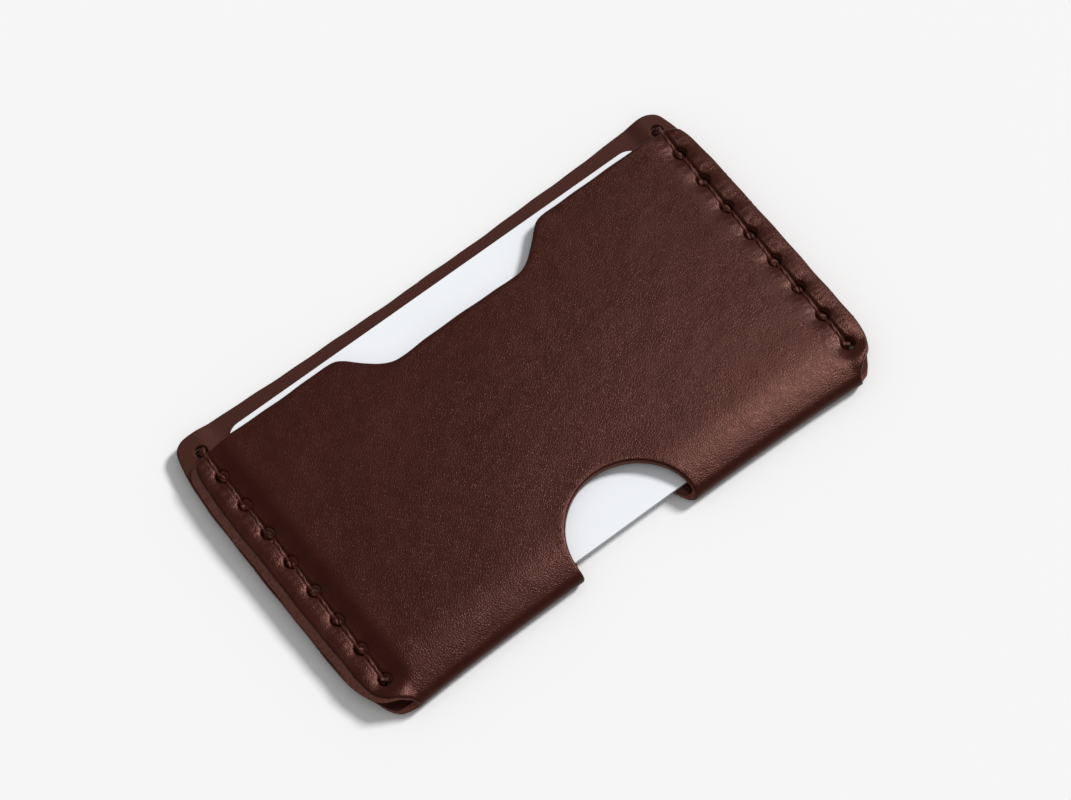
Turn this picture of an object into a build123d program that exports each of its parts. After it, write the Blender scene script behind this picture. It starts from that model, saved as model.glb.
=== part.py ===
"""Slim card wallet: one folded leather blank, two saddle-stitched seams and one standard card.

The wallet lies on its back. X runs along the fold, Y from the fold to the mouth, and Z up out of the
front panel. The origin is in the middle of the underside. Millimetres.
"""
import os

from build123d import *

os.makedirs("parts", exist_ok=True)

# ---- Card: the standard identity-card size, which the whole wallet is cut to fit
card_width = 85.60
card_height = 53.98
card_thickness = 0.76
card_corner_radius = 3.18
card_edge_round = 0.12
card_centre_y = 0.1
card_play = 0.05

# ---- Leather blank
leather = 1.5
pocket_gap = 1.6
half_width = 51.9
half_height = 30.48
seam_play = 0.04

# ---- Bend at the bottom: a half tube that joins the two panels
bend_inner_radius = pocket_gap / 2
bend_outer_radius = bend_inner_radius + leather
bend_y = -half_height + bend_outer_radius
bend_z = bend_outer_radius

# ---- Levels: the panels lie apart over the card and are drawn together at the seams
front_underside = leather + pocket_gap
seam_front_underside = bend_z + seam_play / 2
seam_front_face = seam_front_underside + leather
seam_back_underside = bend_z - seam_play / 2 - leather
draw_in_start = 43.2
draw_in_end = 46.6
bend_release_y = -24.6

# ---- Sides of both panels: straight, then leaning in towards the mouth
side_taper_start_y = 12.0
side_taper_ease = 4.0
side_bulge = 0.5

# ---- Outline of the back panel, which shows all round the narrower front panel
top_sag = 1.1
top_corner_y = half_height + 0.15
top_corner_radius = 3.8
top_half_width = 50.2
back_lower_corner = [(half_width, -19.5), (50.6, -26.5), (48.3, -29.6), (45.4, -half_height)]

# ---- Outline of the front panel and its mouth
front_half_width = 51.2
front_lower_corner = [(front_half_width, -21.5), (50.2, -26.2), (47.4, -28.4), (45.4, -half_height)]
front_top_y = 25.3
front_top_half_width = 50.3
front_corner_radius = 2.8
mouth_notch_bottom_y = 19.3
mouth_notch_half_bottom = 12.3
mouth_notch_half_top = 21.3
mouth_notch_ease = 4.4

# ---- Direction of both lower corners where they run off the end of the bend
corner_run_off = 1.3

# ---- Thumb notch, punched across the bend before folding
thumb_radius = 11.6
thumb_front_y = -28.87
thumb_back_y = -32.9

# ---- Stitch holes: quarter-inch pitch, nine on each side
stitch_x = 47.35
stitch_pitch = 6.35
stitch_count = 9
stitch_middle_y = 1.28
stitch_hole_radius = 1.15
groove_width = 2.0
groove_depth = 0.5

# ---- Thread
thread_radius = 0.42
thread_play = 0.03
strand_offset = 0.47
thread_bend_radius = 0.8

# ---- Reach of the cuts beyond what they cut
cut_depth = 20.0
overhang = 3.0
below_bend_y = -half_height - overhang


def panel_section(y, middle_z, side_z):
    """Panel section across the wallet at height y, flat in the middle and stepped over to the seams."""
    end_x = half_width + overhang
    ease = (draw_in_end - draw_in_start) / 2
    with BuildSketch(Plane.XZ.offset(-y)) as section:
        with BuildLine():
            for z in (0, leather):
                low = middle_z + z
                side = side_z + z
                Line((-draw_in_start, low), (draw_in_start, low))
                for hand in (-1, 1):
                    Bezier(
                        (hand * draw_in_start, low),
                        (hand * (draw_in_start + ease), low),
                        (hand * (draw_in_end - ease), side),
                        (hand * draw_in_end, side),
                    )
                    Line((hand * draw_in_end, side), (hand * end_x, side))
            for hand in (-1, 1):
                Line((hand * end_x, side_z), (hand * end_x, side_z + leather))
        make_face()
    return section.sketch


def panel_side(hand, top_x, top_y, lower_corner):
    """One side of a panel, from its top corner down round the cut-away lower corner to past the bend."""
    side_x, corner_y = lower_corner[0]
    end_x, end_y = lower_corner[-1]
    Bezier(
        (hand * top_x, top_y),
        (hand * (top_x + side_bulge), (top_y + side_taper_start_y) / 2),
        (hand * side_x, side_taper_start_y + side_taper_ease),
        (hand * side_x, side_taper_start_y),
    )
    Line((hand * side_x, side_taper_start_y), (hand * side_x, corner_y))
    Spline(
        [(hand * x, y) for x, y in lower_corner],
        tangents=[(0, -1), (-hand * corner_run_off, -1)],
    )
    Line((hand * end_x, end_y), (hand * end_x, below_bend_y))


# ---- Leather body: back panel, bend and front panel in one piece
with BuildPart() as leather_body:
    # Both panels, straight from the release line up to their top edges
    extrude(
        panel_section(bend_release_y, 0, seam_back_underside),
        amount=half_height - bend_release_y + overhang,
        dir=(0, 1, 0),
    )
    extrude(
        panel_section(bend_release_y, front_underside, seam_front_underside),
        amount=front_top_y - bend_release_y + overhang,
        dir=(0, 1, 0),
    )

    # Below the release line the seams open out again to meet the bend
    loft([panel_section(bend_release_y, 0, seam_back_underside), panel_section(bend_y, 0, 0)])
    loft(
        [
            panel_section(bend_release_y, front_underside, seam_front_underside),
            panel_section(bend_y, front_underside, front_underside),
        ]
    )

    # The bend itself
    with BuildSketch(Plane.YZ.offset(-half_width - overhang)):
        with Locations((bend_y, bend_z)):
            Circle(bend_outer_radius)
            Circle(bend_inner_radius, mode=Mode.SUBTRACT)
            Rectangle(
                bend_outer_radius,
                2 * bend_outer_radius,
                align=(Align.MIN, Align.CENTER),
                mode=Mode.SUBTRACT,
            )
    extrude(amount=2 * (half_width + overhang))

    # Outline, cut through both panels: hollow top edge, tapered sides, cut-away lower corners
    with BuildSketch() as outline:
        with BuildLine():
            ThreePointArc(
                (-top_half_width, top_corner_y),
                (0, top_corner_y - top_sag),
                (top_half_width, top_corner_y),
            )
            for hand in (-1, 1):
                panel_side(hand, top_half_width, top_corner_y, back_lower_corner)
            corner_end_x = back_lower_corner[-1][0]
            Line((-corner_end_x, below_bend_y), (corner_end_x, below_bend_y))
        make_face()
        fillet(outline.vertices().group_by(Axis.Y)[-1], top_corner_radius)
    extrude(amount=cut_depth, mode=Mode.INTERSECT)

    # Front panel: all of it that lies outside its own outline is cut away, down to the back panel
    with BuildSketch(Plane.XY.offset(bend_z)):
        Rectangle(4 * half_width, 4 * half_height)
        with BuildSketch(Plane.XY, mode=Mode.SUBTRACT) as front_outline:
            with BuildLine():
                Line(
                    (-mouth_notch_half_bottom, mouth_notch_bottom_y),
                    (mouth_notch_half_bottom, mouth_notch_bottom_y),
                )
                for hand in (-1, 1):
                    notch_top = (hand * mouth_notch_half_top, front_top_y)
                    Bezier(
                        (hand * mouth_notch_half_bottom, mouth_notch_bottom_y),
                        (hand * (mouth_notch_half_bottom + mouth_notch_ease), mouth_notch_bottom_y),
                        (hand * (mouth_notch_half_top - mouth_notch_ease), front_top_y),
                        notch_top,
                    )
                    Line(notch_top, (hand * front_top_half_width, front_top_y))
                    panel_side(hand, front_top_half_width, front_top_y, front_lower_corner)
                corner_end_x = front_lower_corner[-1][0]
                Line((-corner_end_x, below_bend_y), (corner_end_x, below_bend_y))
            make_face()
            top_points = front_outline.vertices().group_by(Axis.Y)[-1].sort_by(Axis.X)
            fillet([top_points[0], top_points[-1]], front_corner_radius)
    extrude(amount=cut_depth, mode=Mode.SUBTRACT)

    # Thumb notch: the same punch through the front and the back, a little lower on the back
    with BuildSketch(Plane.XY.offset(bend_z)):
        with Locations((0, thumb_front_y)):
            Circle(thumb_radius)
    extrude(amount=cut_depth, mode=Mode.SUBTRACT)
    with BuildSketch(Plane.XY.offset(bend_z)):
        with Locations((0, thumb_back_y)):
            Circle(thumb_radius)
    extrude(amount=-cut_depth, mode=Mode.SUBTRACT)

    # Grooves that the thread is pulled into, on the front and on the back
    groove_length = stitch_pitch * (stitch_count - 1)
    for level, direction in (
        (seam_front_face - groove_depth, 1),
        (seam_back_underside + groove_depth, -1),
    ):
        with BuildSketch(Plane.XY.offset(level)):
            with Locations((-stitch_x, stitch_middle_y), (stitch_x, stitch_middle_y)):
                SlotCenterToCenter(groove_length, groove_width, rotation=90)
        extrude(amount=direction * cut_depth, mode=Mode.SUBTRACT)

    # Stitch holes
    with BuildSketch():
        with Locations((0, stitch_middle_y)):
            with GridLocations(2 * stitch_x, stitch_pitch, 2, stitch_count):
                Circle(stitch_hole_radius)
    extrude(amount=cut_depth, mode=Mode.SUBTRACT)


# ---- Saddle stitching: both ends of one thread pass through every hole and change sides at each
thread_front_z = seam_front_face - groove_depth + thread_play + thread_radius
thread_back_z = seam_back_underside + groove_depth - thread_play - thread_radius
hole_y = [
    stitch_middle_y + stitch_pitch * ((stitch_count - 1) / 2 - index) for index in range(stitch_count)
]


def thread_route(seam_x):
    """Corner points of one thread, from the bottom hole up to the mouth and back down."""
    first_x = seam_x - strand_offset
    second_x = seam_x + strand_offset
    route = [(first_x, hole_y[-1], bend_z)]
    for lower in range(stitch_count - 1, 0, -1):
        level = thread_front_z if lower % 2 else thread_back_z
        route += [(first_x, hole_y[lower], level), (first_x, hole_y[lower - 1], level)]
    for lower in range(1, stitch_count):
        level = thread_back_z if lower % 2 else thread_front_z
        route += [(second_x, hole_y[lower - 1], level), (second_x, hole_y[lower], level)]
    route.append((second_x, hole_y[-1], bend_z))
    return route


def sew(name, seam_x):
    """Sweep the thread along its route and write it out."""
    with BuildPart() as thread:
        with BuildLine() as path:
            FilletPolyline(*thread_route(seam_x), radius=thread_bend_radius)
        with BuildSketch(Plane(origin=path.wire() @ 0, z_dir=path.wire() % 0)):
            Circle(thread_radius)
        sweep()
    thread.part.label = name
    export_step(thread.part, "parts/" + name + ".step")


sew("left_stitching", -stitch_x)
sew("right_stitching", stitch_x)

# ---- Card in the pocket, lying on the back panel
with BuildPart() as card:
    with BuildSketch(Plane.XY.offset(leather + card_play)):
        with Locations((0, card_centre_y)):
            RectangleRounded(card_width, card_height, card_corner_radius)
    extrude(amount=card_thickness)
    card_faces = card.faces().sort_by(Axis.Z)
    fillet(card_faces[0].edges() + card_faces[-1].edges(), card_edge_round)

leather_body.part.label = "leather_body"
card.part.label = "card"
export_step(leather_body.part, "parts/leather_body.step")
export_step(card.part, "parts/card.step")
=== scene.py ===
"""Looks of the slim leather card wallet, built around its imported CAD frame.

Lengths are in millimetres up to each mesh and the camera. The floor and the lights are in metres.
"""
import math

import bpy
import numpy as np
from mathutils import Matrix, Vector
from mathutils.geometry import delaunay_2d_cdt


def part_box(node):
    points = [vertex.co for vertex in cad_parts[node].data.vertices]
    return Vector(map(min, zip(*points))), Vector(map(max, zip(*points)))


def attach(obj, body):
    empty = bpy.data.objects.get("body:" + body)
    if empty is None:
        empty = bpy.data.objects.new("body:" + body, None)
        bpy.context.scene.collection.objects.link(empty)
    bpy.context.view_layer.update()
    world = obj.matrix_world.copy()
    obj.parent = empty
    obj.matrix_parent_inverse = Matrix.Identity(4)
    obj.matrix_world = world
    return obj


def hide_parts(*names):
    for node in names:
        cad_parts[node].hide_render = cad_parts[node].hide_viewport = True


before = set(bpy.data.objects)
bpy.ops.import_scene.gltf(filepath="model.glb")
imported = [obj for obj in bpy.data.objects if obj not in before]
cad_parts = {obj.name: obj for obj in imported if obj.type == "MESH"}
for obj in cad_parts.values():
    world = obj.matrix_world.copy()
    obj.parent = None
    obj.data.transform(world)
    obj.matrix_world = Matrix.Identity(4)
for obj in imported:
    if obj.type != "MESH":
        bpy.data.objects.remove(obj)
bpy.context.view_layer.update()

MM = 0.001
leather_low, leather_high = (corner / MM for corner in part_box("leather_body"))

# ---- Leather thickness, and the sizes taken from the frame's own box
LEATHER = 1.5
HALF = LEATHER / 2
HALF_WIDTH = leather_high.x
FOLD_Y = leather_low.y
TOTAL = leather_high.z
POCKET_MIDDLE = TOTAL / 2

# ---- The fold: pressed tight round the bend, then easing up to the level part of the front panel
EASE_ANGLE = math.radians(17)
EASE_LENGTH = 9.0
EASE_POWER = 1.4
EASE_RISE = EASE_ANGLE * EASE_LENGTH / (EASE_POWER + 1)
BEND_RADIUS = (TOTAL - LEATHER - EASE_RISE) / (1 + math.cos(EASE_ANGLE))
BEND_Y = FOLD_Y + HALF + BEND_RADIUS
BEND_LENGTH = BEND_RADIUS * (math.pi - EASE_ANGLE)

# ---- Seams: the panels are drawn together there
SEAM_PLAY = 0.04
SEAM_DROP = POCKET_MIDDLE - LEATHER - SEAM_PLAY / 2
DRAW_START, DRAW_END = 43.0, 46.6
RELEASE_TOP, RELEASE_END = -24.4, -27.2

# ---- Openings at both ends of the fold: the front panel's lip is lifted there
LIP_LIFT = 0.45
LIP_FULL, LIP_END = 0.6, 3.6
LIP_INNER_X, LIP_OUTER_X = 44.6, 47.4

# ---- The fold isn't quite straight: its middle lies a little further in than its ends
BOW_MIDDLE, BOW_ENDS = 0.34, 0.8
BOW_HALF_WIDTH, BOW_POWER = 45.5, 3.6
BOW_LOWEST = -0.55
BOW_REACH = 9

# ---- Slack in the front panel, as a slow wave
SLACK_HEIGHT = 0.05
SLACK_RATE_X, SLACK_RATE_Y = 0.11, 0.13

# ---- Stitch holes
STITCH_X = 47.35
STITCH_PITCH = 6.35
STITCH_COUNT = 9
STITCH_MIDDLE_Y = 1.28
HOLE_RADIUS = 1.12
HOLE_Y = [STITCH_MIDDLE_Y + STITCH_PITCH * ((STITCH_COUNT - 1) / 2 - i) for i in range(STITCH_COUNT)]

# ---- Outline of half the blank, as (x, y) on each panel
BACK_SHIFT = -0.6
CORNER_TRIM = 1.1
EDGE_FLARE = 1.15
FLARE_X, FLARE_REACH = -46, 8
SHIFT_START, SHIFT_END = -7, 1
TRIM_START, TRIM_FULL, TRIM_EASE, TRIM_END = -4.5, 0, 0.3, 1.6
TRIM_X = 40
WAVER_SLOW, WAVER_SLOW_RATE = 0.05, 0.31
WAVER_FAST, WAVER_FAST_RATE = 0.035, 0.83
BACK_TOP = [(0, 29.5), (14, 29.58), (28, 29.85), (40, 30.2), (45.6, 30.42)]
BACK_SIDE = [
    (48.5, 30.1), (50.0, 29.0), (50.6, 27.2), (51.1, 24.2), (51.6, 20.0), (51.88, 15.0),
    (HALF_WIDTH, 9.0), (HALF_WIDTH, 0.0), (HALF_WIDTH, -12.0), (51.7, -19.7), (51.0, -23.4),
    (50.0, -26.4), (49.3, -28.0),
]
CORNER_CUT = [
    (48.4, 0.30), (47.1, 0.75), (45.9, 1.25), (45.5, 1.90), (45.8, 2.55), (46.5, 3.25), (47.6, 4.2),
]
FRONT_SIDE = [
    (49.1, -26.9), (50.4, -25.2), (51.0, -22.3), (51.2, -16.0), (51.2, 0.0), (51.2, 11.0),
    (51.0, 17.5), (50.65, 22.3), (49.9, 24.35), (48.2, 25.3),
]
FRONT_TOP = [
    (45.5, 25.42), (36.0, 25.35), (26.0, 25.4), (22.4, 25.35), (20.9, 25.05), (19.6, 24.2),
    (18.4, 23.05), (16.85, 21.6), (15.0, 20.1), (13.2, 19.3), (11.2, 19.15), (7.0, 19.25), (0, 19.3),
]
THUMB_RADIUS = 11.6
THUMB_FRONT = (0.1, -28.87)
THUMB_BACK = (-0.7, -32.9)
THUMB_BEND_LEFT, THUMB_BEND_RIGHT = -11.5, 11.1

# ---- Mesh density and edge rounding
OUTLINE_STEP = 0.42
GRID_COARSE = 0.95
GRID_FINE = 0.32
RING_TURNS = 4
EDGE_ROUND = 0.42
FLESH_ROUND = 0.16
HOLE_ROUND = 0.34
GRID_REACH = 52.8
SEAM_INNER, SEAM_OUTER = 3.6, 5.4
TRENCH_HALF, TRENCH_STEP, TRENCH_CLEAR = 1.3, 0.2, 1.45
BEND_MARGIN = 2
FAR_FROM_EDGE = 9.0
MERGE_DISTANCE = 1e-5

# ---- Relief of the grain side along the seams
VALLEY_DEPTH, VALLEY_AT_HOLE, VALLEY_HALF_WIDTH = 0.30, 0.12, 0.47
DIP_DEPTH, DIP_REACH = 0.26, 2.2
PUFF_OUTSIDE, PUFF_OUTSIDE_X, PUFF_OUTSIDE_REACH = 0.09, 2.1, 0.9
PUFF_INSIDE, PUFF_INSIDE_X, PUFF_INSIDE_REACH = 0.05, 1.7, 0.8
PUCKER_HEIGHT, PUCKER_PITCH, PUCKER_X, PUCKER_REACH = 0.022, 1.25, 1.5, 0.8

# ---- The leather mesh's material places
GRAIN, EDGE, FLESH = 0, 1, 2


def smooth(value, start, end):
    """0 before start, 1 after end, and a smooth step between them."""
    share = np.clip((np.asarray(value, float) - start) / (end - start), 0, 1)
    return share * share * (3 - 2 * share)


# ---------------------------------------------------------------- the blank in the flat
def back_flat(y):
    """Place along the flat blank of a point at height y on the back panel."""
    return BEND_Y - y


def fold_profile():
    """Middle line of the leather round the fold: place along the flat, turn, y and z."""
    along = np.linspace(0, BEND_LENGTH + EASE_LENGTH, 3000)
    eased = np.clip((along - BEND_LENGTH) / EASE_LENGTH, 0, 1)
    turn = np.clip(along / BEND_RADIUS, 0, math.pi - EASE_ANGLE)
    turn = turn + EASE_ANGLE * (1 - (1 - eased) ** EASE_POWER)
    step = along[1]
    y = BEND_Y - np.concatenate([[0], np.cumsum(np.cos((turn[1:] + turn[:-1]) / 2))]) * step
    z = HALF + np.concatenate([[0], np.cumsum(np.sin((turn[1:] + turn[:-1]) / 2))]) * step
    return along, turn, y, z


FOLD_ALONG, FOLD_TURN, FOLD_LINE_Y, FOLD_LINE_Z = fold_profile()


def front_flat(y):
    """Place along the flat blank of a point at height y on the front panel."""
    front = FOLD_ALONG > BEND_LENGTH / 2
    near_fold = np.interp(y, FOLD_LINE_Y[front], FOLD_ALONG[front])
    return near_fold + np.clip(y - FOLD_LINE_Y[-1], 0, None)


def spline(points, closed=False, step=OUTLINE_STEP):
    """Centripetal Catmull-Rom curve through points, resampled at an even step."""
    points = np.array(points, float)
    if closed:
        points = np.vstack([points[-1], points, points[0], points[1]])
    else:
        points = np.vstack([2 * points[0] - points[1], points, 2 * points[-1] - points[-2]])
    dense = []
    for p0, p1, p2, p3 in zip(points, points[1:], points[2:], points[3:]):
        t1 = math.sqrt(np.linalg.norm(p1 - p0))
        t2 = t1 + math.sqrt(np.linalg.norm(p2 - p1))
        t3 = t2 + math.sqrt(np.linalg.norm(p3 - p2))
        t = np.linspace(t1, t2, 40, endpoint=False)[:, None]
        a1 = (t1 - t) / t1 * p0 + t / t1 * p1
        a2 = (t2 - t) / (t2 - t1) * p1 + (t - t1) / (t2 - t1) * p2
        a3 = (t3 - t) / (t3 - t2) * p2 + (t - t2) / (t3 - t2) * p3
        b1 = (t2 - t) / t2 * a1 + t / t2 * a2
        b2 = (t3 - t) / (t3 - t1) * a2 + (t - t1) / (t3 - t1) * a3
        dense.append((t2 - t) / (t2 - t1) * b1 + (t - t1) / (t2 - t1) * b2)
    dense = np.vstack(dense + ([] if closed else [points[-2:-1]]))
    if closed:
        dense = np.vstack([dense, dense[:1]])
    along = np.concatenate([[0], np.cumsum(np.linalg.norm(np.diff(dense, axis=0), axis=1))])
    count = max(8, int(round(along[-1] / step)))
    where = np.linspace(0, along[-1], count + 1)
    even = np.column_stack([np.interp(where, along, dense[:, k]) for k in (0, 1)])
    return even[:-1] if closed else even


def blank_outline():
    """The blank's outer edge in the flat, anticlockwise, with a hand cutter's slight waver."""
    right = [(x, back_flat(y)) for x, y in BACK_TOP + BACK_SIDE]
    right += CORNER_CUT
    right += [(x, front_flat(y)) for x, y in FRONT_SIDE + FRONT_TOP]
    left = [(-x, s) for x, s in reversed(right[1:-1])]
    edge = spline(right + left, closed=True)
    along = np.arange(len(edge)) * OUTLINE_STEP
    waver = WAVER_SLOW * np.sin(WAVER_SLOW_RATE * along + 1.1)
    waver = waver + WAVER_FAST * np.sin(WAVER_FAST_RATE * along)
    edge = edge + outward(edge) * waver[:, None]
    edge[:, 0] += BACK_SHIFT * (1 - smooth(edge[:, 1], SHIFT_START, SHIFT_END))
    corner = smooth(edge[:, 1], TRIM_START, TRIM_FULL) * (1 - smooth(edge[:, 1], TRIM_EASE, TRIM_END))
    corner = corner * (edge[:, 0] > TRIM_X)
    edge[:, 0] -= CORNER_TRIM * corner
    return edge


def thumb_outline():
    """The thumb notch's closed outline in the flat: one punch on the front, one on the back."""
    start = math.asin((BEND_Y - THUMB_FRONT[1]) / THUMB_RADIUS)
    end = math.asin((BEND_Y - THUMB_BACK[1]) / THUMB_RADIUS)
    front = [
        (
            THUMB_FRONT[0] + THUMB_RADIUS * math.cos(a),
            front_flat(THUMB_FRONT[1] + THUMB_RADIUS * math.sin(a)),
        )
        for a in np.linspace(start, math.pi - start, 24)
    ]
    back = [
        (
            THUMB_BACK[0] + THUMB_RADIUS * math.cos(a),
            back_flat(THUMB_BACK[1] + THUMB_RADIUS * math.sin(a)),
        )
        for a in np.linspace(math.pi - end, end, 18)
    ]
    middle = BEND_LENGTH / 2
    return spline(front + [(THUMB_BEND_LEFT, middle)] + back + [(THUMB_BEND_RIGHT, middle)], closed=True)


def outward(loop):
    """Unit normals of a closed anticlockwise loop, pointing out of it."""
    along = np.roll(loop, -1, 0) - np.roll(loop, 1, 0)
    normal = np.column_stack([along[:, 1], -along[:, 0]])
    return normal / np.linalg.norm(normal, axis=1, keepdims=True)


def anticlockwise(loop):
    """The same loop, turned round if it runs clockwise."""
    x, y = loop.T
    area = np.sum(x * np.roll(y, -1) - np.roll(x, -1) * y)
    return loop if area > 0 else loop[::-1]


def inside(points, loop):
    """Even-odd test of many points against one closed loop."""
    hit = np.zeros(len(points), bool)
    x, y = points.T
    for (ax, ay), (bx, by) in zip(loop, np.roll(loop, -1, 0)):
        if ay == by:
            continue
        crosses = (ay > y) != (by > y)
        hit ^= crosses & (x < (bx - ax) * (y - ay) / (by - ay) + ax)
    return hit


def nearest(points, samples):
    """Distance from each point to the nearest sample."""
    best = np.empty(len(points))
    for i in range(0, len(points), 2000):
        part = points[i:i + 2000]
        best[i:i + 2000] = np.sqrt(((part[:, None] - samples[None]) ** 2).sum(2).min(1))
    return best


# ---------------------------------------------------------------- from the flat to the folded wallet
def draw_in(x, y):
    """How far the panels are drawn together: 0 over the card and at the fold, 1 at the stitches."""
    return smooth(np.abs(x), DRAW_START, DRAW_END) * (1 - smooth(-y, -RELEASE_TOP, -RELEASE_END))


def middle_surface(x, s):
    """Middle of the leather's thickness for places x, s on the flat blank."""
    beyond = np.clip(-s, 0, None) + np.clip(s - FOLD_ALONG[-1], 0, None)
    y = np.interp(s, FOLD_ALONG, FOLD_LINE_Y) + beyond
    z = np.interp(s, FOLD_ALONG, FOLD_LINE_Z)
    side = np.cos(np.interp(s, FOLD_ALONG, FOLD_TURN))
    z = z + side * SEAM_DROP * draw_in(x, y)
    lip = smooth(s, BEND_LENGTH * 0.5, BEND_LENGTH)
    lip = lip * (1 - smooth(s, BEND_LENGTH + LIP_FULL, BEND_LENGTH + LIP_END))
    z = z + LIP_LIFT * lip * smooth(np.abs(x), LIP_INNER_X, LIP_OUTER_X)
    bow = BOW_MIDDLE - BOW_ENDS * (np.abs(x) / BOW_HALF_WIDTH) ** BOW_POWER
    y = y + np.clip(bow, BOW_LOWEST, 1) * (1 - smooth(y, BEND_Y, BEND_Y + BOW_REACH))
    wave = np.sin(SLACK_RATE_X * x + 0.6) * np.sin(SLACK_RATE_Y * y + 0.4)
    z = z - side * SLACK_HEIGHT * wave * (side < 0)
    return np.column_stack([x, y, z])


def grain_relief(x, s):
    """Height added to the grain side: the stitch valleys, their puckers and the puffed margins."""
    y = middle_surface(x, s)[:, 1]
    across = np.abs(x) - STITCH_X
    first, last = HOLE_Y[0], HOLE_Y[-1]
    along_seam = smooth(y, last - 1.6, last - 0.2) * (1 - smooth(y, first + 0.2, first + 1.6))
    phase = 2 * math.pi * (y - STITCH_MIDDLE_Y) / STITCH_PITCH
    at_hole = 0.5 + 0.5 * np.cos(phase)
    valley = (VALLEY_DEPTH + VALLEY_AT_HOLE * at_hole) * np.exp(-(across / VALLEY_HALF_WIDTH) ** 6)
    dip = DIP_DEPTH * at_hole ** 1.5 * np.exp(-(across / DIP_REACH) ** 2)
    puff_out = PUFF_OUTSIDE * np.exp(-((across - PUFF_OUTSIDE_X) / PUFF_OUTSIDE_REACH) ** 2)
    puff_in = PUFF_INSIDE * (1 - at_hole) * np.exp(-((across + PUFF_INSIDE_X) / PUFF_INSIDE_REACH) ** 2)
    pucker = PUCKER_HEIGHT * np.sin(2 * math.pi * y / PUCKER_PITCH + 1.6 * np.sin(0.9 * y))
    pucker = pucker * np.exp(-((np.abs(across) - PUCKER_X) / PUCKER_REACH) ** 2)
    return along_seam * (puff_out + puff_in + pucker - valley - dip)


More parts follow.
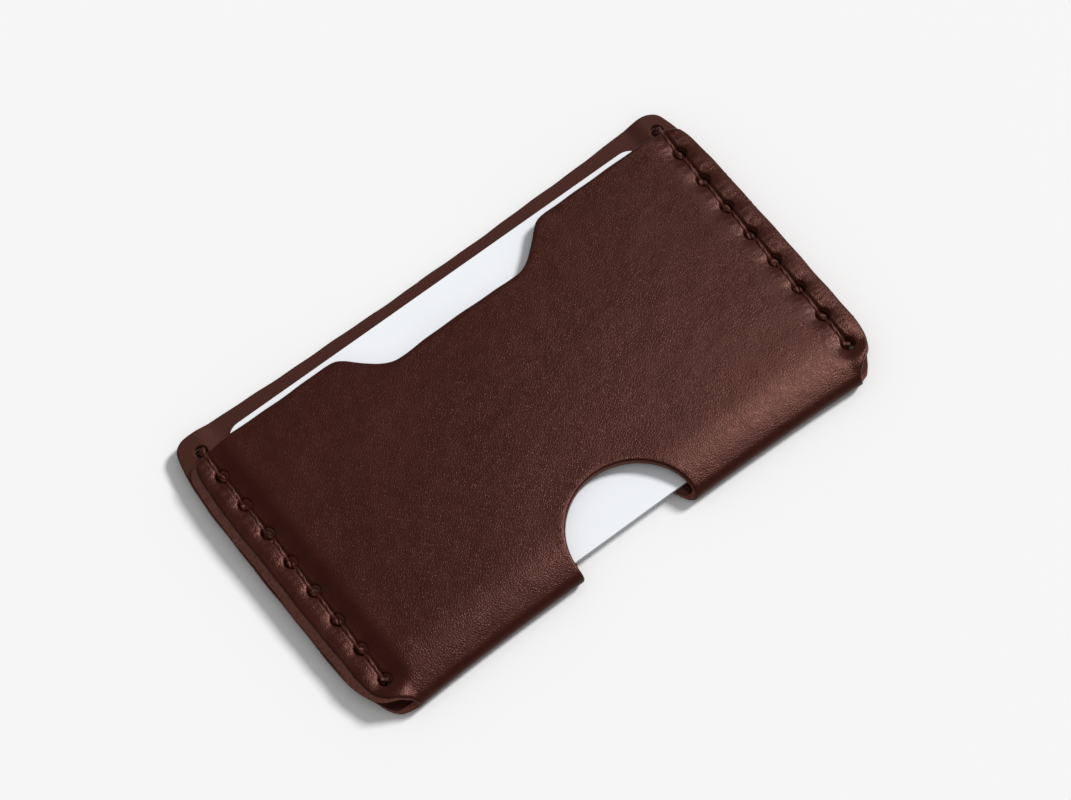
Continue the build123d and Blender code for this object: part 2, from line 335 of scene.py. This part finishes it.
def build_leather():
    """One closed mesh: grain side, flesh side and cut edges of the folded, punched blank."""
    outer = anticlockwise(blank_outline())
    holes = [anticlockwise(thumb_outline())]
    hole_turns = np.linspace(0, 2 * math.pi, 20, endpoint=False)
    for hand in (-1, 1):
        for i, y in enumerate(HOLE_Y):
            places = [back_flat(y)] if i == 0 else [back_flat(y), front_flat(y)]
            for s in places:
                ring = np.column_stack([hand * STITCH_X + HOLE_RADIUS * np.cos(hole_turns),
                                        s + HOLE_RADIUS * np.sin(hole_turns)])
                holes.append(ring)

    turns = [k * math.pi / 2 / RING_TURNS for k in range(RING_TURNS + 1)]
    points, edges, depth, radius, rims = [], [], [], [], []
    count = 0
    for n, loop in enumerate([outer] + holes):
        normal = outward(loop) * (-1 if n == 0 else 1)
        rounding = EDGE_ROUND if n < 2 else HOLE_ROUND
        for k, turn in enumerate(turns):
            inset = rounding * (1 - math.cos(turn))
            points.append(loop + normal * inset)
            size = len(loop)
            edges += [(count + i, count + (i + 1) % size) for i in range(size)]
            if k == 0:
                rims.append((count, size, n))
            depth += [inset] * size
            radius += [rounding] * size
            count += size
    ring_points = np.vstack(points)

    s_low, s_high = outer[:, 1].min(), outer[:, 1].max()
    coarse = np.array([(x, s) for s in np.arange(s_low, s_high, GRID_COARSE)
                       for x in np.arange(-GRID_REACH, GRID_REACH, GRID_COARSE)])
    seam = np.abs(np.abs(coarse[:, 0]) - STITCH_X) < SEAM_INNER
    bend = (coarse[:, 1] > -BEND_MARGIN) & (coarse[:, 1] < BEND_LENGTH + BEND_MARGIN)
    coarse = coarse[~seam & ~bend]
    fine = np.array([(hand * x, s) for hand in (-1, 1) for s in np.arange(s_low, s_high, GRID_FINE)
                     for x in np.arange(STITCH_X - SEAM_INNER, STITCH_X + SEAM_OUTER, GRID_FINE)])
    fold = np.array([(x, s) for s in np.arange(-BEND_MARGIN, BEND_LENGTH + BEND_MARGIN, GRID_FINE)
                     for x in np.arange(-STITCH_X + SEAM_INNER, STITCH_X - SEAM_INNER, GRID_COARSE)])
    trench = np.array([(hand * (STITCH_X + x), s) for hand in (-1, 1)
                       for s in np.arange(s_low, s_high, GRID_FINE)
                       for x in np.arange(-TRENCH_HALF, TRENCH_HALF + 0.01, TRENCH_STEP)])
    fine = fine[np.abs(np.abs(fine[:, 0]) - STITCH_X) > TRENCH_CLEAR]
    inner = np.vstack([coarse, fine, fold, trench])
    inner = inner[inside(inner, outer)]
    for loop in holes:
        box = (np.abs(inner - loop.mean(0)) < np.ptp(loop, axis=0)).all(1)
        drop = np.zeros(len(inner), bool)
        drop[box] = inside(inner[box], loop)
        inner = inner[~drop]
    inner = inner[nearest(inner, ring_points) > GRID_FINE * 0.6]
    flat = np.vstack([ring_points, inner])
    depth = np.concatenate([depth, np.full(len(inner), FAR_FROM_EDGE)])
    radius = np.concatenate([radius, np.full(len(inner), EDGE_ROUND)])

    found = delaunay_2d_cdt([Vector(p) for p in flat], edges, [], 0, MERGE_DISTANCE)
    made, triangles, source = found[0], found[2], found[3]
    keep_index = np.array([group[0] for group in source])
    flat = np.array([(v.x, v.y) for v in made])
    depth, radius = depth[keep_index], radius[keep_index]
    triangles = np.array([t for t in triangles if len(t) == 3])
    middle = flat[triangles].mean(1)
    wanted = inside(middle, outer)
    for loop in holes:
        box = (np.abs(middle - loop.mean(0)) < np.ptp(loop, axis=0)).all(1)
        wanted[box] &= ~inside(middle[box], loop)
    triangles = triangles[wanted]
    new_index = {old: new for new, group in enumerate(source) for old in group}

    x, s = flat.T
    step = 0.02
    surface = middle_surface(x, s)
    normal = np.cross(middle_surface(x + step, s) - middle_surface(x - step, s),
                      middle_surface(x, s + step) - middle_surface(x, s - step))
    normal /= np.linalg.norm(normal, axis=1, keepdims=True)
    curve = np.clip(radius - depth, 0, None)
    grain_height = HALF - radius + np.sqrt(np.clip(radius ** 2 - curve ** 2, 0, None))
    curve = np.clip(FLESH_ROUND - depth, 0, None)
    flesh_height = HALF - FLESH_ROUND + np.sqrt(np.clip(FLESH_ROUND ** 2 - curve ** 2, 0, None))
    grain = surface + normal * (grain_height + grain_relief(x, s))[:, None]
    flesh = surface - normal * flesh_height[:, None]
    left_edge = (x < FLARE_X) * smooth(s, BEND_LENGTH, BEND_LENGTH + FLARE_REACH)
    left_edge = left_edge * (1 - smooth(depth, 0, EDGE_ROUND))
    flesh[:, 0] -= EDGE_FLARE * left_edge

    total = len(flat)
    faces = [tuple(t) for t in triangles] + [tuple(t[::-1] + total) for t in triangles]
    material = [GRAIN] * len(triangles) + [FLESH] * len(triangles)
    for start, size, n in rims:
        for i in range(size):
            a, b = new_index[start + i], new_index[start + (i + 1) % size]
            if n == 0:
                a, b = b, a
            faces.append((a, b, b + total, a + total))
            material.append(EDGE)
    mesh = bpy.data.meshes.new("wallet_leather")
    mesh.from_pydata(np.vstack([grain, flesh]) * MM, [], faces)
    mesh.polygons.foreach_set("material_index", material)
    mesh.validate()
    mesh.shade_smooth()
    leather = bpy.data.objects.new("wallet_leather", mesh)
    bpy.context.collection.objects.link(leather)
    return leather


# ---------------------------------------------------------------- thread
THREAD_RADIUS = 0.42
THREAD_OFFSET = 0.40
THREAD_SWELL = 0.20
THREAD_LEAN = 0.22
THREAD_BITE = 1.0
FRONT_FACE = POCKET_MIDDLE + SEAM_PLAY / 2 + LEATHER
BACK_FACE = POCKET_MIDDLE - SEAM_PLAY / 2 - LEATHER
THREAD_SINK = 0.50
DIVE = 1.20
SAG = 0.40
PLIES = 3
PLY_PITCH = 1.9
PLY_LOW, PLY_RISE = 0.78, 0.25
SWELL_FULL, SWELL_END = 0.15, 0.70
THREAD_STEP = 0.16
THREAD_SIDES = 18


def thread_points(hand):
    """Corner points of one saddle-stitched thread, up through the holes and back down."""
    seam_x = hand * STITCH_X
    front = FRONT_FACE - THREAD_SINK
    back = BACK_FACE + THREAD_SINK

    def stitch(upper, level):
        """One stitch between two holes, leaning from the upper hole's right to the lower hole's left."""
        high, low = HOLE_Y[upper] - THREAD_BITE, HOLE_Y[upper + 1] + THREAD_BITE
        inward = 1 if level < POCKET_MIDDLE else -1
        return [(seam_x + THREAD_LEAN * 0.6, high + 0.3, level + DIVE * inward),
                (seam_x + THREAD_LEAN * 0.4, high, level + SAG * inward),
                (seam_x + THREAD_LEAN * 0.2, high - 1.1, level),
                (seam_x - THREAD_LEAN * 0.8, low + 1.1, level),
                (seam_x - THREAD_LEAN, low, level + SAG * inward),
                (seam_x - THREAD_LEAN, low - 0.3, level + DIVE * inward)]

    first_x, second_x = seam_x - THREAD_OFFSET, seam_x + THREAD_OFFSET
    tail = HOLE_Y[-1] - 0.30
    route = [(first_x, tail, front - 0.85), (first_x, tail + 0.1, POCKET_MIDDLE)]
    for upper in range(STITCH_COUNT - 2, -1, -1):
        level = back if upper % 2 else front
        route += stitch(upper, level)[::-1] + [(first_x, HOLE_Y[upper], POCKET_MIDDLE)]
    route[-1] = (first_x - 0.1, HOLE_Y[0] - 0.1, POCKET_MIDDLE - 0.55)
    route += [
        (first_x, HOLE_Y[0] + 0.45, POCKET_MIDDLE - 0.9),
        (second_x, HOLE_Y[0] + 0.4, POCKET_MIDDLE - 1.0),
    ]
    for upper in range(STITCH_COUNT - 1):
        level = front if upper % 2 else back
        route += [(second_x, HOLE_Y[upper], POCKET_MIDDLE)] + stitch(upper, level)
    route += [(second_x, HOLE_Y[-1], POCKET_MIDDLE), (second_x - 0.2, tail, front - 1.2)]
    return np.array(route)


def corner_cut(points, passes=3):
    """Chaikin's corner cutting: a smooth line inside the corners."""
    for _ in range(passes):
        near = points[:-1] * 0.75 + points[1:] * 0.25
        far = points[:-1] * 0.25 + points[1:] * 0.75
        points = np.vstack([points[:1], np.stack([near, far], 1).reshape(-1, 3), points[-1:]])
    return points


def build_thread(name, hand):
    """Twisted waxed cord swept along the stitch route."""
    path = corner_cut(thread_points(hand))
    along = np.concatenate([[0], np.cumsum(np.linalg.norm(np.diff(path, axis=0), axis=1))])
    where = np.arange(0, along[-1], THREAD_STEP)
    path = np.column_stack([np.interp(where, along, path[:, k]) for k in range(3)])
    tangent = np.gradient(path, axis=0)
    tangent /= np.linalg.norm(tangent, axis=1, keepdims=True)
    side = np.cross(tangent[0], (1, 0, 0.01))
    side /= np.linalg.norm(side)
    sides = THREAD_SIDES
    around = np.linspace(0, 2 * math.pi, sides, endpoint=False)
    rings = []
    for place, forward, length in zip(path, tangent, where):
        side = side - forward * np.dot(side, forward)
        side /= np.linalg.norm(side)
        up = np.cross(forward, side)
        turn = 2 * math.pi * length / PLY_PITCH
        lobes = np.abs(np.cos((PLIES * around - turn) / 2))
        in_hole = 1 - smooth(abs(place[2] - POCKET_MIDDLE), SWELL_FULL, SWELL_END)
        size = (THREAD_RADIUS + THREAD_SWELL * in_hole) * (PLY_LOW + PLY_RISE * lobes)
        sideways = (size * np.cos(around))[:, None] * side
        upwards = (size * np.sin(around))[:, None] * up
        rings.append(place + sideways + upwards)
    vertices = np.vstack(rings + [path[:1], path[-1:]])
    faces = []
    for r in range(len(rings) - 1):
        for i in range(sides):
            j = (i + 1) % sides
            faces.append((r * sides + i, r * sides + j, (r + 1) * sides + j, (r + 1) * sides + i))
    last = (len(rings) - 1) * sides
    first_cap, last_cap = len(vertices) - 2, len(vertices) - 1
    for i in range(sides):
        j = (i + 1) % sides
        faces.append((first_cap, j, i))
        faces.append((last_cap, last + i, last + j))
    mesh = bpy.data.meshes.new(name)
    mesh.from_pydata(vertices * MM, [], faces)
    mesh.validate()
    mesh.shade_smooth()
    thread = bpy.data.objects.new(name, mesh)
    bpy.context.collection.objects.link(thread)
    return thread


# ---------------------------------------------------------------- materials
def new_material(name):
    """An empty node material with its Principled shader."""
    material = bpy.data.materials.new(name)
    material.use_nodes = True
    nodes = material.node_tree.nodes
    nodes.clear()
    output = nodes.new("ShaderNodeOutputMaterial")
    shader = nodes.new("ShaderNodeBsdfPrincipled")
    material.node_tree.links.new(shader.outputs["BSDF"], output.inputs["Surface"])
    return material, shader


class Graph:
    """Short calls for the nodes that the materials share."""

    def __init__(self, material):
        self.nodes = material.node_tree.nodes
        self.links = material.node_tree.links
        self.place = self.nodes.new("ShaderNodeTexCoord").outputs["Object"]

    def set_input(self, socket, value):
        if isinstance(value, bpy.types.NodeSocket):
            self.links.new(value, socket)
        else:
            socket.default_value = value

    def scaled(self, scale):
        node = self.nodes.new("ShaderNodeMapping")
        self.links.new(self.place, node.inputs["Vector"])
        node.inputs["Scale"].default_value = scale
        return node.outputs["Vector"]

    def noise(self, per_mm, detail=4.0, roughness=0.5, stretch=(1, 1, 1)):
        node = self.nodes.new("ShaderNodeTexNoise")
        self.links.new(self.scaled([k / MM for k in stretch]), node.inputs["Vector"])
        node.inputs["Scale"].default_value = per_mm
        node.inputs["Detail"].default_value = detail
        node.inputs["Roughness"].default_value = roughness
        return node.outputs["Fac"]

    def cells(self, per_mm):
        node = self.nodes.new("ShaderNodeTexVoronoi")
        node.feature = "DISTANCE_TO_EDGE"
        self.links.new(self.scaled((1 / MM, 1 / MM, 1 / MM)), node.inputs["Vector"])
        node.inputs["Scale"].default_value = per_mm
        node.inputs["Randomness"].default_value = 1.0
        return node.outputs["Distance"]

    def span(self, value, low, high, to_low, to_high):
        node = self.nodes.new("ShaderNodeMapRange")
        node.interpolation_type = "SMOOTHSTEP"
        self.links.new(value, node.inputs["Value"])
        node.inputs["From Min"].default_value = low
        node.inputs["From Max"].default_value = high
        node.inputs["To Min"].default_value = to_low
        node.inputs["To Max"].default_value = to_high
        return node.outputs["Result"]

    def mix(self, factor, first, second):
        node = self.nodes.new("ShaderNodeMix")
        node.data_type = "RGBA"
        self.set_input(node.inputs["Factor"], factor)
        self.set_input(node.inputs["A"], first)
        self.set_input(node.inputs["B"], second)
        return node.outputs["Result"]

    def math(self, operation, first, second):
        node = self.nodes.new("ShaderNodeMath")
        node.operation = operation
        self.set_input(node.inputs[0], first)
        self.set_input(node.inputs[1], second)
        return node.outputs["Value"]

    def bump(self, height, depth_mm, after=None):
        node = self.nodes.new("ShaderNodeBump")
        self.links.new(height, node.inputs["Height"])
        node.inputs["Distance"].default_value = depth_mm * MM
        node.inputs["Strength"].default_value = 1.0
        if after is not None:
            self.links.new(after, node.inputs["Normal"])
        return node.outputs["Normal"]


def rgb(red, green, blue):
    return (red, green, blue, 1.0)


WARM_SHEEN = rgb(1.0, 0.48, 0.39)


def grain_material():
    """Smooth waxed leather: fine pebbled grain, a slow swell and uneven dye."""
    material, shader = new_material("waxed_grain_leather")
    g = Graph(material)
    dark, base, warm = rgb(0.0208, 0.0035, 0.0021), rgb(0.0260, 0.0048, 0.0030), rgb(0.0325, 0.0070, 0.0044)
    cloud = g.noise(0.045, 5, 0.6)
    colour = g.mix(g.span(cloud, 0.35, 0.66, 0, 1), dark, base)
    mottled = g.noise(0.8, 6, 0.62)
    colour = g.mix(g.span(mottled, 0.45, 0.75, 0, 0.55), colour, warm)
    g.set_input(shader.inputs["Base Color"], colour)
    rough = g.noise(0.35, 6, 0.6)
    g.set_input(shader.inputs["Roughness"], g.span(rough, 0.3, 0.7, 0.29, 0.35))
    shader.inputs["Specular IOR Level"].default_value = 0.20
    shader.inputs["Specular Tint"].default_value = WARM_SHEEN
    pebble = g.span(g.cells(2.6), 0.0, 0.30, 0, 1)
    small = g.noise(7.5, 3, 0.6)
    swell = g.noise(0.12, 4, 0.5)
    normal = g.bump(swell, 0.16)
    normal = g.bump(pebble, 0.014, after=normal)
    normal = g.bump(small, 0.013, after=normal)
    g.set_input(shader.inputs["Normal"], normal)
    return material


def edge_material():
    """Burnished cut edge: fibres pressed flat and waxed."""
    material, shader = new_material("burnished_edge")
    g = Graph(material)
    streaks = g.noise(2.2, 5, 0.65, stretch=(1, 1, 0.35))
    dark, light = rgb(0.085, 0.0270, 0.0195), rgb(0.160, 0.0560, 0.0410)
    colour = g.mix(g.span(streaks, 0.3, 0.7, 0, 1), dark, light)
    g.set_input(shader.inputs["Base Color"], colour)
    g.set_input(shader.inputs["Roughness"], g.span(streaks, 0.3, 0.7, 0.40, 0.56))
    shader.inputs["Specular IOR Level"].default_value = 0.06
    shader.inputs["Specular Tint"].default_value = WARM_SHEEN
    g.set_input(shader.inputs["Normal"], g.bump(streaks, 0.06))
    return material


def flesh_material():
    """Flesh side: matt, napped and a little paler."""
    material, shader = new_material("flesh_side_leather")
    g = Graph(material)
    nap = g.noise(3.2, 8, 0.7)
    dark, light = rgb(0.027, 0.0070, 0.0050), rgb(0.041, 0.0112, 0.0080)
    colour = g.mix(g.span(nap, 0.3, 0.7, 0, 1), dark, light)
    g.set_input(shader.inputs["Base Color"], colour)
    shader.inputs["Roughness"].default_value = 0.66
    shader.inputs["Specular IOR Level"].default_value = 0.20
    shader.inputs["Specular Tint"].default_value = WARM_SHEEN
    g.set_input(shader.inputs["Normal"], g.bump(nap, 0.05))
    return material


def thread_material():
    """Dark waxed cord."""
    material, shader = new_material("waxed_cord")
    g = Graph(material)
    fuzz = g.noise(4.0, 6, 0.65)
    dark, light = rgb(0.024, 0.0056, 0.0036), rgb(0.044, 0.0112, 0.0076)
    colour = g.mix(g.span(fuzz, 0.3, 0.7, 0, 1), dark, light)
    g.set_input(shader.inputs["Base Color"], colour)
    g.set_input(shader.inputs["Roughness"], g.span(fuzz, 0.3, 0.7, 0.34, 0.50))
    shader.inputs["Specular IOR Level"].default_value = 0.22
    shader.inputs["Specular Tint"].default_value = WARM_SHEEN
    g.set_input(shader.inputs["Normal"], g.bump(g.noise(9.0, 4, 0.6), 0.03))
    return material


def card_material():
    """Plain white plastic card: a faint cool tint, a satin skin and sides painted dark grey, a little for
    its greyer cut edge and mostly as painted shade.
    """
    material, shader = new_material("plain_white_card")
    g = Graph(material)
    tint = g.noise(0.05, 3, 0.5)
    cool, plain = rgb(0.795, 0.815, 0.845), rgb(0.81, 0.83, 0.86)
    # Painted shade: faces that aren't level (the card's sides) are painted dark grey, standing in for the
    # shade along the card's edge.
    edge_painted_shade = rgb(0.34, 0.35, 0.37)
    colour = g.mix(g.span(tint, 0.35, 0.65, 0, 1), cool, plain)
    facing = g.nodes.new("ShaderNodeSeparateXYZ")
    g.links.new(g.nodes.new("ShaderNodeTexCoord").outputs["Normal"], facing.inputs["Vector"])
    level = g.span(g.math("ABSOLUTE", facing.outputs["Z"], 0.0), 0.3, 0.8, 0, 1)
    colour = g.mix(level, edge_painted_shade, colour)
    g.set_input(shader.inputs["Base Color"], colour)
    g.set_input(shader.inputs["Roughness"], g.span(g.noise(1.4, 4, 0.5), 0.3, 0.7, 0.36, 0.46))
    g.set_input(shader.inputs["Normal"], g.bump(g.noise(6.0, 2, 0.5), 0.004))
    return material


# ---------------------------------------------------------------- pieces
leather = build_leather()
for made in (grain_material(), edge_material(), flesh_material()):
    leather.data.materials.append(made)
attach(leather, "wallet")
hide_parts("leather_body")

softbox_receivers = [leather]
cord_material = thread_material()
threads = (("left_saddle_thread", "left_stitching", -1), ("right_saddle_thread", "right_stitching", 1))
for name, node, hand in threads:
    thread = build_thread(name, hand)
    thread.data.materials.append(cord_material)
    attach(thread, "wallet")
    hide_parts(node)
    softbox_receivers.append(thread)

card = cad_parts["card"]
card.data.materials.clear()
card.data.materials.append(card_material())


# ---------------------------------------------------------------- floor, light and camera
FLOOR_GAP = 0.00002


def build_floor():
    """Large pale floor, a hair below the wallet so that the two don't share a plane."""
    mesh = bpy.data.meshes.new("floor")
    reach = 3.0
    corners = [(-reach, -reach, 0), (reach, -reach, 0), (reach, reach, 0), (-reach, reach, 0)]
    mesh.from_pydata(corners, [], [(0, 1, 2, 3)])
    floor = bpy.data.objects.new("floor", mesh)
    bpy.context.collection.objects.link(floor)
    floor.location.z = -FLOOR_GAP
    material, shader = new_material("pale_floor")
    shader.inputs["Base Color"].default_value = rgb(0.84, 0.84, 0.84)
    shader.inputs["Roughness"].default_value = 0.9
    shader.inputs["Specular IOR Level"].default_value = 0.1
    mesh.materials.append(material)


def aim(light, place):
    """Puts a light at a place and turns it to the wallet."""
    light.location = place
    light.rotation_euler = (-Vector(place)).to_track_quat("-Z", "Y").to_euler()
    bpy.context.collection.objects.link(light)


def key_light(towards, spread, strength):
    """Distant soft key, which lights the whole floor evenly."""
    data = bpy.data.lights.new("key_light", "SUN")
    data.angle = math.radians(spread)
    data.energy = strength
    aim(bpy.data.objects.new("key_light", data), Vector(towards))


def wallet_softbox(place, width, depth, power, receivers):
    """Softbox over the right end, for gloss only, that lights nothing but the receivers."""
    data = bpy.data.lights.new("wallet_softbox", "AREA")
    data.shape = "RECTANGLE"
    data.size, data.size_y = width, depth
    data.energy = power
    light = bpy.data.objects.new("wallet_softbox", data)
    light.visible_camera = False
    light.visible_diffuse = False
    aim(light, Vector(place))
    lit = bpy.data.collections.new("lit_by_softbox")
    for piece in receivers:
        lit.objects.link(piece)
    light.light_linking.receiver_collection = lit


build_floor()
key_light((0.785, 0.000, 0.619), 13, 3.32)
wallet_softbox((0.16, 0.0, 0.35), 0.06, 0.05, 1.45, softbox_receivers)
world = bpy.data.worlds.new("studio")
world.use_nodes = True
world.node_tree.nodes["Background"].inputs["Color"].default_value = rgb(1.0, 1.0, 1.0)
world.node_tree.nodes["Background"].inputs["Strength"].default_value = 0.445
bpy.context.scene.world = world
bpy.context.scene.view_settings.view_transform = "Standard"

# The camera was solved from the card's corners and edges and the two rows of stitch holes
CAMERA_LENS = 144.62
CAMERA_PLACE = (-150.193, -244.254, 646.816)
CAMERA_RIGHT = (0.79429711, -0.60601234, -0.04290851)
CAMERA_BACK = (-0.21463316, -0.34598862, 0.9133589)
camera_data = bpy.data.cameras.new("camera")
camera_data.lens = CAMERA_LENS
camera_data.sensor_width = 36
camera_data.clip_start = 0.01
camera = bpy.data.objects.new("camera", camera_data)
right = Vector(CAMERA_RIGHT)
back = Vector(CAMERA_BACK)
up = back.cross(right)
turn = Matrix((right, up, back)).transposed().to_4x4()
camera.matrix_world = Matrix.Translation(Vector(CAMERA_PLACE) * MM) @ turn
bpy.context.collection.objects.link(camera)
bpy.context.scene.camera = camera
